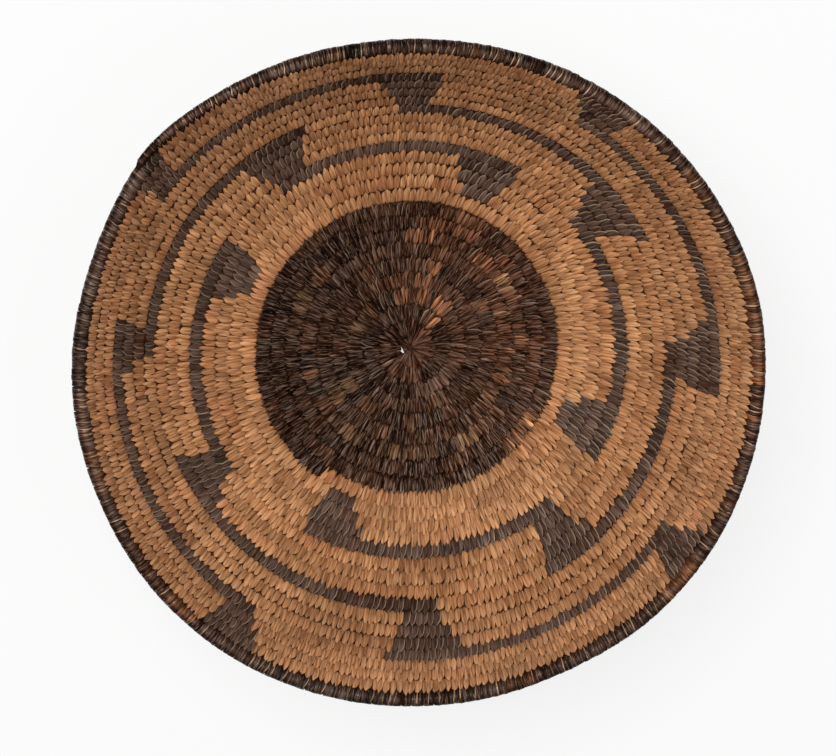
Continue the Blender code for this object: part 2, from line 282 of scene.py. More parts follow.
# Their colours: shares of dark and redder dark, how much they vary, and their share of colour at the
# middle, which with the loops' undersides takes painted shade where they dive into the knot
KNOT_SHARES = (1.0, 1.2)
KNOT_SPREAD = 0.25
KNOT_SHADE = 0.25

# The first turn's stitches start this share of a row further in, over the knot, and this much nearer
# to their full height, up to this share of the way across and less over this much of it
OVER_KNOT = 0.24
KNOT_RISE = 0.85
OVER_KNOT_TO = 0.3
OVER_KNOT_FADE = 0.38

# How much darker the rods are where the coil runs out, and in the row inside it there, and the turns
# from the end over which that fades
END_SHADE = 0.70
END_FADE = (0.06, 0.16)

# The bundle of rods: places along it, corners round it, how thick it is as a share of the sewing, how
# far it reaches into the next row and how far before the coil's end it stops, in turns
BUNDLE_PLACES = 2300
BUNDLE_CORNERS = 10
BUNDLE_THICKNESS = 0.80
INTO_NEXT_ROW = 0.00045
BUNDLE_STOP = 0.004
# The rods inside the knot: half their height, how far they stay in from its edge, how near to a
# point they end, as a share of half their length, and the places along them
KNOT_RODS_HIGH = 0.0022
KNOT_RODS_IN = 0.0003
KNOT_RODS_END = 0.97
KNOT_RODS_PLACES = 9
# Places along and corners round a rod's end, how much it draws in towards the seam and how much it
# thins by its tip, each with a power, and the share of its length that lies back in the sewing
ROD_PLACES = 9
ROD_CORNERS = 8
ROD_DRAWS_IN = (0.55, 1.5)
ROD_THINS = (0.82, 1.6)
ROD_BACK = 0.12
# The rods' ends: length, radius, share of the way across the row, and rise from the middle surface
ROD_ENDS = np.array([(0.0044, 0.00080, 0.30, 0.0006), (0.0032, 0.00070, 0.62, 0.0002),
                     (0.0038, 0.00065, 0.45, -0.0007), (0.0027, 0.00060, 0.80, -0.0003)])

SEED = 41

# The photograph's camera: frame in pixels, scale at the tray, distance, angles from straight above,
# and the point that it looks at, as a height above the base and as a pixel
FRAME_PIXELS = (836, 756)
METRES_PER_PIXEL = 0.000472
CAMERA_DISTANCE = 1.21
CAMERA_LEFT = math.radians(2.34)
CAMERA_UP = math.radians(12.65)
TARGET_HEIGHT = 0.043
TARGET_PIXEL = (413.2, 364.65)
SENSOR_WIDTH = 36.0
FAR_CLIP = 30.0

# The round floor's rings in metres, how far it lies under the lowest stitch, its colour, and how
# much of it the eye sees as plain white
FLOOR_RADII = (0.4, 1.2, 3.0, 8.0)
FLOOR_CORNERS = 64
FLOOR_GAP = 0.00002
FLOOR_GREY = (0.90, 0.90, 0.90)
FLOOR_GLOW = 0.82
WHITE = (1.0, 1.0, 1.0, 1.0)

# The light from all round, and the lamps (name, place, size across, power in watts) and their aim
SOFT_LIGHT = 0.26
LAMPS = (("key_light", (-0.44, 0.66, 1.43), 1.0, 19.6), ("fill_light", (1.0, -0.45, 1.3), 1.4, 4.8))
LAMP_AIM = (0.0, 0.0, 0.04)


def length_choice(name, description, metres, least=0.001, most=0.01):
    return FloatProperty(name=name, description=description, default=metres, min=least, max=most,
                         precision=5, unit="LENGTH")


def colour_choice(name, description, *colour):
    return FloatVectorProperty(name=name, description=description, subtype="COLOR", size=3,
                               default=colour, min=0.0, max=1.0)


class TraySizes(bpy.types.PropertyGroup):
    """Sizes of the sewing that can be changed by themselves."""

    willow_spacing: length_choice("Willow Stitch", "Distance from one willow stitch to the next", 0.00300)
    dark_spacing: length_choice("Dark Stitch", "Distance between stitches in the dark middle", 0.00222)
    arm_spacing: length_choice("Arm Stitch", "Distance between stitches in the dark arms", 0.00290)
    rim_spacing: length_choice("Rim Stitch", "Distance between stitches on the rim", 0.00265)
    splint_thickness: length_choice("Splint Thickness", "Thickness of a splint at its edges",
                                    0.00030, 0.0001, 0.002)
    closeness: FloatProperty(
        name="Uneven Sewing", description="How much closer or wider the stitches lie along the coil",
        default=0.14, min=0.0, max=0.5, subtype="FACTOR")
    seam_wander: length_choice("Seam Wander", "How far the seams wander from an even spiral",
                               0.00024, 0.0, 0.002)
    seed: IntProperty(name="Seed", description="Picks the hand's small differences", default=SEED)


class TrayColours(bpy.types.PropertyGroup):
    """Colours of the splints and of the rods inside the coil."""

    willow: colour_choice("Willow", "Golden willow splints", 0.500, 0.245, 0.110)
    willow_brown: colour_choice("Browner Willow", "Willow that has darkened", 0.400, 0.165, 0.070)
    devils_claw: colour_choice("Dark", "Brown-black splints", 0.0250, 0.0098, 0.0053)
    devils_claw_red: colour_choice("Redder Dark", "Dark splints with more brown", 0.055, 0.0178, 0.0070)
    devils_claw_grey: colour_choice("Greyer Dark", "Splints of the arms and the rim",
                                    0.088, 0.0520, 0.0380)
    copper: colour_choice("Copper", "Reddest patches of the dark sewing", 0.162, 0.062, 0.026)
    gold: colour_choice("Gold", "Yellower patches of the dark sewing", 0.142, 0.070, 0.031)
    brown: colour_choice("Brown", "Dull patches of the dark sewing", 0.096, 0.039, 0.017)
    tan: colour_choice("Tan", "Palest patches of the dark sewing", 0.380, 0.165, 0.065)
    # The pale edges are partly the splints' pale cut edges and partly painted glints in the dark middle and
    # on the rim
    pale_edge: colour_choice("Pale Edge", "Pale edge of a dark splint", 0.420, 0.310, 0.215)
    pale_rim: colour_choice("Pale Rim Edge", "Pale edge of a rim splint", 0.640, 0.400, 0.250)
    # The rods are real, and their dark colour is partly painted shade, as they look in the gaps between the
    # stitches
    rods: colour_choice("Rods", "Rods inside the coil, as dark as they look between the stitches",
                        0.056, 0.0215, 0.0092)


def ring_angles(corners):
    """The angles of corners that stand evenly round a ring."""
    return math.tau * np.arange(corners) / corners


def together(*arrays):
    """Arrays side by side along a new last axis, each stretched to their common shape."""
    return np.stack(np.broadcast_arrays(*arrays), axis=-1)


def azimuth_at(turn):
    """The azimuth of a place on the coil: a full turn for each turn, from where the coil starts."""
    return START_AZIMUTH + math.tau * turn


def angle_from(place, azimuth):
    """The angle from a place round to an azimuth, within half a turn either way."""
    return (azimuth - place + math.pi) % math.tau - math.pi


def row_edge(turn):
    """Arc length from the middle to the inner seam of the row at this turn.

    The first turn winds round the knot, then each turn is a pitch further out, and the pitch
    shrinks evenly towards the rim. The last outer seam draws in where the coil runs out.
    """
    wound = np.maximum(np.asarray(turn, dtype=float) - KNOT_TURNS, 0.0)
    half_shrink = 0.5 * (PITCH_AT_RIM - PITCH_AT_START) / END_TURN
    edge = KNOT_RADIUS + PITCH_AT_START * wound + half_shrink * wound ** 2
    run_out = np.clip((wound - END_TURN + TAPER_TURNS) / TAPER_TURNS, 0.0, 1.0)
    return edge - PITCH_AT_RIM * (1.0 - TAPER_WIDTH) * run_out


def slit_share(azimuth):
    """One at the middle of the slit beside the knot, falling to nothing as a bell of the angle from it."""
    return np.exp(-(angle_from(SLIT_AZIMUTH, azimuth) / SLIT_HALF_ANGLE) ** 4)


def seam_arc(turn, wander):
    """The row's edge, moved by a sum of sines of the turn, which grows over the first turns.

    The first turn's inner edge also draws back from the slit beside the knot.
    """
    turn = np.asarray(turn, dtype=float)
    waves = sum(share * np.sin(math.tau * rate * turn + phase) for rate, share, phase in SEAM_WAVES)
    slit = SLIT_OUT * slit_share(azimuth_at(turn)) * (turn < KNOT_TURNS)
    return row_edge(turn) + slit + wander * waves * np.clip(0.5 * (turn - KNOT_TURNS), 0.0, 1.0)


def row_at(turn, wander):
    """A row's inner edge, its width, and its thickness as a share of the coil's, which thins at its end."""
    inner = seam_arc(turn, wander)
    row = seam_arc(turn + 1.0, wander) - inner
    return inner, row, np.clip(row / PITCH_AT_RIM, THINNEST, 1.0)


def smooth_step(value, low, high):
    """Zero below low, one above high, and three squares less two cubes of the share between."""
    share = np.clip((value - low) / (high - low), 0.0, 1.0)
    return share * share * (3.0 - 2.0 * share)


def face_draw(turn, across, facing):
    """How far outwards the sewing lies here: a sum of cosines and sines, by how far it is to the face.

    Their shares run straight between the table's turns. On the rim it falls to nothing at the edge.
    """
    azimuth = azimuth_at(turn)
    waves = [np.ones_like(azimuth)]
    waves += [wave(times * azimuth) for times in (1, 2, 3) for wave in (np.cos, np.sin)]
    drawn = sum(wave * np.interp(turn, DRAW_TURNS, share) for wave, share in zip(waves, FACE_DRAW.T))
    fade = np.where(turn[:, None] > END_TURN - RIM_TURNS, np.clip(1.0 - across, 0.0, 1.0), 1.0)
    return 0.001 * drawn[:, None] * fade * smooth_step(facing, -0.4, 0.4)


WALL_ARC = float(row_edge(END_TURN + KNOT_TURNS - TAPER_TURNS))


def bowl_profile():
    """Radius and height of the wall's middle surface against arc length.

    The wall is level over the base, then its slope rises as a power of a sine to the rim's slope.
    """
    arc = np.linspace(0.0, WALL_ARC * PROFILE_REACH, PROFILE_STEPS)
    share = np.clip((arc - FLAT_BASE_ARC) / (FULL_SLOPE_ARC - FLAT_BASE_ARC), 0.0, 1.0)
    slope = RIM_SLOPE * np.sin(0.5 * math.pi * share) ** SLOPE_SHARPNESS
    step = arc[1]
    radius = np.concatenate([[0.0], np.cumsum(np.cos(0.5 * (slope[1:] + slope[:-1])) * step)])
    height = np.concatenate([[0.0], np.cumsum(np.sin(0.5 * (slope[1:] + slope[:-1])) * step)])
    return arc, radius, height + HALF_COIL


PROFILE = bowl_profile()


def tray_axis():
    """The bowl's axis stands in the middle of the start knot."""
    low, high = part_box("start_knot")
    return np.array([0.5 * (low[0] + high[0]), 0.5 * (low[1] + high[1]), 0.0])


TRAY_AXIS = tray_axis()


def middle_surface(arc, azimuth):
    """A point of the wall's middle surface: the turned profile, with the rim's wave, bulges and dents."""
    arc_table, radius_table, height_table = PROFILE
    rise = np.clip((arc - FLAT_BASE_ARC) / (WALL_ARC - FLAT_BASE_ARC), 0.0, None) ** 2
    wave = np.cos(2.0 * (azimuth - WAVE_AZIMUTH))
    for bulges, reach, first in RIM_BULGES:
        arc = arc + reach * rise * np.cos(bulges * (azimuth - first))
    radius = np.interp(arc, arc_table, radius_table) - RIM_OVAL * rise * wave
    for reach, place, width in RIM_DENTS:
        away = angle_from(math.radians(place), azimuth)
        radius = radius + reach * rise ** DENT_FADE * np.exp(-0.5 * (away / math.radians(width)) ** 2)
    height = np.interp(arc, arc_table, height_table) + RIM_WAVE * rise * wave
    return together(radius * np.cos(azimuth), radius * np.sin(azimuth), height)


def wall_point(arc, azimuth, lift):
    """A point at a distance above the middle surface, along its normal, which points into the bowl."""
    here = middle_surface(arc, azimuth)
    further_out = middle_surface(arc + NORMAL_STEP, azimuth)
    along_row = middle_surface(arc + NORMAL_STEP, azimuth + NORMAL_STEP) - further_out
    normal = np.cross(further_out - here, along_row)
    normal /= np.linalg.norm(normal, axis=-1, keepdims=True)
    return TRAY_AXIS + here + normal * np.asarray(lift)[..., None]


def coil_table():
    """Length along the middle of the coil against turns, as a running sum of turns times 2 pi radius."""
    turn = np.linspace(START_TURN, END_TURN, COIL_STEPS)
    middle = 0.5 * (row_edge(turn) + row_edge(turn + 1.0))
    radius = np.interp(middle, PROFILE[0], PROFILE[1])
    length = np.cumsum(math.tau * radius * (turn[1] - turn[0]))
    return turn, length - length[0]


COIL_TABLE = coil_table()


def willow_turn(row, azimuth_degrees):
    """Turns from the coil's start to a place in a willow row."""
    change_azimuth = azimuth_at(FIELD_TURN)
    past_change = (math.radians(azimuth_degrees) - change_azimuth) % math.tau
    return FIELD_TURN + (row - 1) + past_change / math.tau


def coil_runs():
    """The coil's stretches of one colour, in order: (first turn, last turn, the node it belongs to).

    Willow between two arms belongs to the field of the arm behind it. The willow before the first
    arm belongs to the field of the arm that ends the same row one turn later.
    """
    rim_turn = END_TURN - RIM_TURNS
    arms = []
    for name, runs in ARM_RUNS.items():
        for row, run in enumerate(runs, start=2):
            if run:
                start = willow_turn(row, run[0])
                arms.append((start, min(start + (run[1] - run[0]) % 360.0 / 360.0, rim_turn), name))
    arms.sort()
    second_row = FIELD_TURN + 1.0
    behind = max(run for run in arms if run[0] < second_row + 1.0)[2]
    runs = [(START_TURN, FIELD_TURN, "dark_middle"), (FIELD_TURN, second_row, "first_willow_row")]
    place = second_row
    for start, end, name in arms:
        runs.append((place, start, behind.replace("dark_arm", "willow_field")))
        runs.append((start, end, name))
        place, behind = end, name
    runs.append((place, rim_turn, behind.replace("dark_arm", "willow_field")))
    runs.append((rim_turn, END_TURN, "rim_coil"))
    return [run for run in runs if run[1] - run[0] > 1e-4]


def coil_stitches(sizes):
    """All the stitches in order along the coil: middle turn, width, splint's number and node's name.

    The coil's length is weighted by one plus a sum of sines, so that some stretches are sewn closer.
    A stretch of one colour is cut into as many equal shares of that weight as fit. Then the count of
    stitches, less the count one turn before, is drawn to a whole number and the notch's phase by a
    sine of their difference, so that most stitches start between two of the row inside. Each cut
    also moves at random by a small share of a stitch. One splint sews 5 to 14 stitches.
    """
    chance = np.random.default_rng((sizes.seed, 2))
    spacings = {"dark_middle": sizes.dark_spacing, "rim_coil": sizes.rim_spacing}
    turn_table, length_table = COIL_TABLE
    waves = sum(share * np.sin(math.tau * rate * turn_table + phase)
                for rate, share, phase in CLOSENESS_WAVES)
    weight = np.cumsum(np.gradient(length_table) * (1.0 + sizes.closeness * waves))
    laid = np.array([START_TURN])
    nodes = []
    for start, end, node in coil_runs():
        other = sizes.arm_spacing if node.startswith("dark_arm") else sizes.willow_spacing
        pieces = max(1, math.ceil((end - start) / LONGEST_RUN))
        cuts = np.linspace(start, end, pieces + 1)
        for begin, finish in zip(cuts[:-1], cuts[1:]):
            first, last = np.interp((begin, finish), turn_table, weight)
            count = max(1, int(round((last - first) / spacings.get(node, other))))
            turn = np.linspace(begin, finish, FINE_STEPS * count + 1)
            even = count * (np.interp(turn, turn_table, weight) - first) / (last - first)
            before = np.interp(turn - 1.0, laid, np.arange(len(laid), dtype=float))
            near_end = np.clip(np.minimum(even, count - even), 0.0, 1.0) * (turn > START_TURN + 1.0)
            drawn = NOTCH_PULL / math.tau * np.sin(math.tau * (even - before - NOTCH_PHASE))
            number = np.arange(count + 1, dtype=float)
            number[1:-1] += chance.uniform(-CUT_WANDER, CUT_WANDER, count - 1)
            laid = np.concatenate([laid, np.interp(number, even - drawn * near_end, turn)[1:]])
            nodes += [node] * count
    widths = np.diff(np.interp(laid, turn_table, length_table))
    splint_ends = np.cumsum(chance.integers(*SPLINT_STITCHES, len(nodes)))
    splints = np.searchsorted(splint_ends, np.arange(len(nodes)), side="right")
    return 0.5 * (laid[1:] + laid[:-1]), widths, splints, np.array(nodes)


def splint_points(turn, width, path, hand, sizes, loose):
    """Corners of wrapped stitches: an array of stitches by places along the splint by four corners.

    A place along the splint is a share of the way across the row and a lift from the middle
    surface, and its face is drawn outwards. The two shoulders lie there, half a stitch's share of
    width to either side, and the two edges lie a share of the splint's thickness deeper along the
    path's own normal. It leans, so it slides along the coil in proportion to the way across, and
    its tip slides a little more. The first turn's stitches start higher and further in, over the
    knot, in proportion to how near the place is to their start.
    """
    across, lift, share, _ = path.T
    inner, row, thin = row_at(turn, sizes.seam_wander)
    drawn = face_draw(turn, across, lift) * thin[:, None]
    over = (turn < KNOT_TURNS + START_TURN) * (1.0 - slit_share(azimuth_at(turn)))
    start = over[:, None] * (lift > 0.0) * np.clip((OVER_KNOT_TO - across) / OVER_KNOT_FADE, 0.0, 1.0)
    lift = lift + KNOT_RISE * start * (1.0 - lift)
    tooth = hand["tooth"][:, None] * np.clip(across - TOOTH_FROM, 0.0, None)
    reach = across + tooth - OVER_KNOT * start
    out = row[:, None] * reach + drawn
    up = HALF_COIL * thin[:, None] * lift * (1.0 + hand["crown"][:, None] * np.abs(lift))
    out_step = np.gradient(out, axis=1)
    up_step = np.gradient(up, axis=1)
    length = np.hypot(out_step, up_step)
    depth = loose * sizes.splint_thickness * SIDE_DEPTH + hand["roll"][:, None, None] * SIDES
    out = out[..., None] + (up_step / length)[..., None] * depth
    up = up[..., None] - (out_step / length)[..., None] * depth
    slide = -hand["lean"][:, None] * row[:, None] * (reach - LEAN_MIDDLE)
    slide += hand["skew"][:, None] * width[:, None] * smooth_step(reach, *SKEW_RANGE)
    half = 0.5 * (width * (1.0 - hand["slim"]))[:, None] * share
    sideways = slide[..., None] + half[..., None] * SIDES
    middle_radius = np.interp(inner + 0.5 * row, PROFILE[0], PROFILE[1])
    angle = sideways / middle_radius[:, None, None]
    arc = inner[:, None, None] + out + row[:, None, None] * angle / math.tau
    azimuth = azimuth_at(turn[:, None, None]) + angle
    grain = np.cumsum(length, axis=1)
    return wall_point(arc, azimuth, up), sideways, grain


def splint_normals(points, roll):
    """Which way each corner of a splint faces, so that its top is nearly flat and its sides are steep.

    The splint's own normal is square to its length and to the line across its shoulders. At each
    corner it is turned about the length by the side's tilt and by the stitch's own roll.
    """
    along = np.gradient(0.5 * (points[:, :, 1] + points[:, :, 2]), axis=1)
    across = points[:, :, 2] - points[:, :, 1]
    across /= np.linalg.norm(across, axis=-1, keepdims=True)
    facing = np.cross(along, across)
    facing /= np.linalg.norm(facing, axis=-1, keepdims=True)
    tilt = (SIDE_TILT[None] + roll[:, None])[:, None, :, None]
    return facing[:, :, None] * np.cos(tilt) + across[:, :, None] * np.sin(tilt)


def ring_faces(here, ahead, corners):
    """Four-sided faces between rings of corners and the rings ahead of them, all the way round."""
    side = np.arange(corners)
    nxt = (side + 1) % corners
    here, ahead = here[:, None] * corners, ahead[:, None] * corners
    return together(here + side, ahead + side, ahead + nxt, here + nxt).reshape(-1, 4)


def copied(one, count, corners):
    """The faces of one strip, for a count of strips whose corners follow each other."""
    return (one[None] + np.arange(count)[:, None, None] * corners).reshape(-1, 4)


def band_faces(count, places, corners):
    """Corner numbers of closed bands: a tube of four sides along each splint, with both ends shut."""
    tube = ring_faces(np.arange(places - 1), np.arange(1, places), corners)
    last = (places - 1) * corners
    caps = np.array([[0, 1, 2, 3], [last + 3, last + 2, last + 1, last]])
    return copied(np.vstack([tube, caps]), count, places * corners)


def outward_volume(points, faces):
    """Signed volume inside the faces: positive where they point outwards."""
    a, b, c, d = (points[faces[:, i]] for i in range(4))
    first = np.einsum("ij,ij->i", a, np.cross(b, c)).sum()
    return (first + np.einsum("ij,ij->i", a, np.cross(c, d)).sum()) / 6.0


def fill(items, key, values, kind=np.float32):
    """Writes an array into one property of a mesh's items."""
    items.foreach_set(key, np.asarray(values).astype(kind).ravel())


def add_mesh(name, points, faces, colours, fibres, material, normals=None, lines=0.0):
    """A mesh object from arrays: corners, faces, and for each corner a colour and a place in the fibres.

    The lines give each corner the strength of the stitch's pale line and its place across the stitch.
    """
    points, colours, fibres = points.reshape(-1, 3), colours.reshape(-1, 3), fibres.reshape(-1, 2)
    if outward_volume(points, faces) <= 0.0:
        raise RuntimeError("%s is inside out" % name)
    mesh = bpy.data.meshes.new(name)
    mesh.vertices.add(len(points))
    mesh.loops.add(faces.size)
    mesh.polygons.add(len(faces))
    fill(mesh.vertices, "co", points)
    fill(mesh.polygons, "loop_start", np.arange(0, faces.size, 4), np.int32)
    fill(mesh.polygons, "vertices", faces, np.int32)
    mesh.update(calc_edges=True)
    mesh.shade_smooth()
    if normals is not None:
        mesh.normals_split_custom_set_from_vertices(normals.reshape(-1, 3))
    layer = mesh.color_attributes.new(name="splint_colour", type="FLOAT_COLOR", domain="POINT")
    pale, side = np.broadcast_to(lines, (len(points), 2)).T
    fill(layer.data, "color", np.column_stack([np.clip(colours, 0.0, 1.0), pale]))
    fill(mesh.attributes.new(name="side", type="FLOAT", domain="POINT").data, "value", side)
    fill(mesh.uv_layers.new(name="fibres").uv, "vector", fibres[faces.ravel()])
    mesh.materials.append(material)
    thing = bpy.data.objects.new(name, mesh)
    bpy.context.scene.collection.objects.link(thing)
    return thing


def splint_colours(palette, splint, chance, shares, spread):
    """One colour for each stitch: its splint's mix of the palette, and its own small change of light."""
    numbers, owner = np.unique(splint, return_inverse=True)
    mixes = chance.dirichlet(shares, len(numbers))
    light = 1.0 + spread * chance.standard_normal(len(numbers))
    own = 1.0 + OWN_SPREAD * spread * chance.standard_normal(len(splint))
    colour = (mixes @ np.array(palette))[owner]
    return colour * np.clip(light[owner] * own, *LIGHT_LIMITS)[:, None]


def paint_patches(colour, turn, patches, colours, chance):
    """Most stitches inside a patch take much of its tone, each a little lighter or darker."""
    places = [(middle, degrees, tone) for tone, some in patches.items() for middle, degrees in some]
    for middle, degrees, tone in sorted(places):
        inside = np.abs(turn - middle) < 0.5 * degrees / 360.0
        count = inside.sum()
        light = np.clip(1.0 + PATCH_SPREAD * chance.standard_normal(count), *PATCH_LIGHT)
        share = np.where(chance.random(count) < PATCH_STITCHES, chance.uniform(*PATCH_SHARE, count),
                         PATCH_REST)[:, None]
        tint = np.array(getattr(colours, tone)) * light[:, None]
        colour[inside] += share * (tint - colour[inside])
    return colour


def shaded(colour, shade, edge):
    """The stitches' colours at their corners, with painted shade and a painted highlight along a stitch,
    and painted shade at its two edges, in the grooves between stitches.
    """
    shade = shade[:, None] * np.array([edge, 1.0, 1.0, edge])
    return colour[:, None, None, :] * shade[None, :, :, None] ** SHADE_POWERS


def fibre_places(chance, count, across, along):
    """A place in the fibres for each corner, in millimetres, from a random start for each strip."""
    return together(across, along) + chance.uniform(0.0, FIBRE_REACH, (count, 1, 1, 2))


def sew(node, name, looks, number):
    """Sews one node: takes its stitches, shapes them, colours them and makes the mesh."""
    looks = {**PLAIN_LOOKS, **looks}
    path = looks["path"]
    chance = chance_for(number)
    sizes = bpy.context.scene.tray_sizes
    colours = bpy.context.scene.tray_colours
    turn, width, splint, owner = coil_stitches(sizes)
    turn, width, splint = turn[owner == node], width[owner == node], splint[owner == node]
    count = len(turn)
    normal = chance.standard_normal
    hand = {habit: mean + spread * normal(count)
            for habit, (mean, spread) in {"tooth": looks["tooth"], **HAND}.items()}
    hand["slim"] = SLIM_SHARE * looks["loose"] * np.clip(normal(count) - SLIM_FROM, 0.0, SLIM_MOST)
    points, sideways, grain = splint_points(turn, width, path, hand, sizes, looks["loose"])
    colour = splint_colours([getattr(colours, tone) for tone in looks["tones"]], splint, chance,
                            looks["shares"], looks["spread"])
    colour = paint_patches(colour, turn, looks["patches"], colours, chance)
    around = azimuth_at(turn)
    # Painted light: the colour is made lighter on one side of the tray, and on two opposite sides, where
    # the lamps and the fibres' sheen light it more, and darker across
    for waves, lighter in enumerate(("painted_light_side", "painted_light_two_sides"), start=1):
        share, azimuth = looks[lighter]
        colour *= 1.0 + share * np.cos(waves * (around - azimuth))[:, None]
    colour *= 1.0 + (np.array(looks["outer_tint"]) - 1.0) * smooth_step(turn, *OUTER_TURNS)[:, None]
    colour *= 1.0 - looks["darker_start"] * (1.0 - smooth_step(turn, *FIRST_TURNS))[:, None]
    # Pale lines along one edge: partly pale cut edges, partly painted glints
    strength = (chance.random(count) < looks["pale_share"]) * chance.uniform(*looks["pale_range"], count)
    pale = strength[:, None, None] * np.clip(path[:, 3], 0.0, 1.0)[:, None]
    fibres = fibre_places(chance, count, sideways * TO_MILLIMETRES,
                          (grain * TO_MILLIMETRES)[..., None])
    normals = splint_normals(points, NORMAL_ROLL * normal(count))
    # The share of colour along the path and the darker edges are painted shade and painted highlight
    piece = add_mesh(name, points, band_faces(count, len(path), len(SIDES)),
                     shaded(colour, path[:, 3], looks["edge"]), fibres,
                     splint_material(looks["material"]), normals, together(pale, SIDES).reshape(-1, 2))
    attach(piece, "root")
    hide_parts(node)
    return piece


def empty_tree(owner):
    """The node tree of a new material or world, with nothing in it."""
    owner.use_nodes = True
    owner.node_tree.nodes.clear()
    return owner.node_tree


def add_node(tree, kind, *inputs, **settings):
    """A new node with its settings. An input is a socket, and a value, an output or another node."""
    node = tree.nodes.new(kind)
    for name, value in settings.items():
        setattr(node, name, value)
    for socket, value in inputs:
        if isinstance(value, bpy.types.Node):
            value = value.outputs[0]
        if isinstance(value, bpy.types.NodeSocket):
            tree.links.new(value, node.inputs[socket])
        else:
            node.inputs[socket].default_value = value
    return node


def noise_steps(tree, vector, scale, detail, *steps):
    """Noise at a place, and the noise spread over each of some (low, high, least, most) ranges."""
    noise = add_node(tree, "ShaderNodeTexNoise", ("Vector", vector), ("Scale", scale), ("Detail", detail),
                     ("Roughness", 0.6))
    return [noise] + [
        add_node(tree, "ShaderNodeMapRange", ("Value", noise), ("From Min", low), ("From Max", high),
                 ("To Min", least), ("To Max", most)) for low, high, least, most in steps]


def mixed_colour(tree, share, first, second):
    """A mix of two colours, each of them an output or three numbers."""
    ends = [(*tone, 1.0) if isinstance(tone, tuple) else tone for tone in (first, second)]
    mix = add_node(tree, "ShaderNodeMix", (0, share), (6, ends[0]), (7, ends[1]), data_type="RGBA")
    return mix.outputs[2]


def product(tree, first, second):
    """The node that multiplies two colours."""
    return add_node(tree, "ShaderNodeVectorMath", (0, first), (1, second), operation="MULTIPLY")


# Each material: its roughness, the darkest and the palest streak, the limit that the noise of the
# slivers passes, their colour, the strength of the relief, the least and the most gloss, the tint of
# the gloss and the colour of the pale line. The slivers are partly pale split fibres and partly
# painted glints
SPLINTS = {
    "willow_splint": (0.55, (0.56, 0.50, 0.43), (1.34, 1.43, 1.49), 0.70, (0.55, 0.31, 0.15), 1.0,
                      (0.10, 0.30), (1.0, 0.92, 0.82), "pale_edge"),
    "devils_claw_splint": (0.42, (0.13, 0.11, 0.09), (1.96, 2.08, 2.25), 0.60, (0.22, 0.132, 0.084), 1.0,
                           (0.02, 0.50), (1.0, 0.80, 0.68), "pale_edge"),
    "worn_claw_splint": (0.45, (0.60, 0.54, 0.50), (1.42, 1.43, 1.44), 0.67, (0.22, 0.16, 0.11), 1.0,
                         (0.05, 0.50), (1.0, 0.90, 0.80), "pale_edge"),
    "rim_claw_splint": (0.34, (0.40, 0.36, 0.34), (1.46, 1.48, 1.50), 0.64, (0.30, 0.20, 0.14), 1.0,
                        (0.02, 0.45), (1.0, 0.92, 0.84), "pale_rim"),
    "foundation_rod": (0.70, (0.65, 0.65, 0.65), (1.25, 1.25, 1.25), 0.80, (0.08, 0.05, 0.03), 0.6,
                       (0.05, 0.20), (1.0, 0.9, 0.8), "pale_edge"),
}
RELIEF_DEPTH = 0.0002

# The noises of the fibres: how fast each changes across and along a splint, and how its range from
# low to high is spread, as (low, high, least, most)
STREAKS = (0.95, 0.07, 1.0)
STREAK_STEP = (0.38, 0.62, 0.0, 1.0)
GLOSS_RANGE = (0.45, 0.65)
GLOSS_SPREAD = 0.10
SHINE_RANGE = (0.50, 0.64)
SLIVERS = (2.6, 0.16, 1.0)
SLIVER_WIDTH = 0.06
SLIVER_COVER = 0.85
HUES = (0.9, 0.45, 1.0)
HUE_STEP = (0.36, 0.64, 0.0, 1.0)
YELLOWER = (1.08, 0.98, 0.82)
BLUER = (0.95, 1.00, 1.16)
AGE_SCALE = 45.0
AGE_STEP = (0.30, 0.70, 0.86, 1.10)


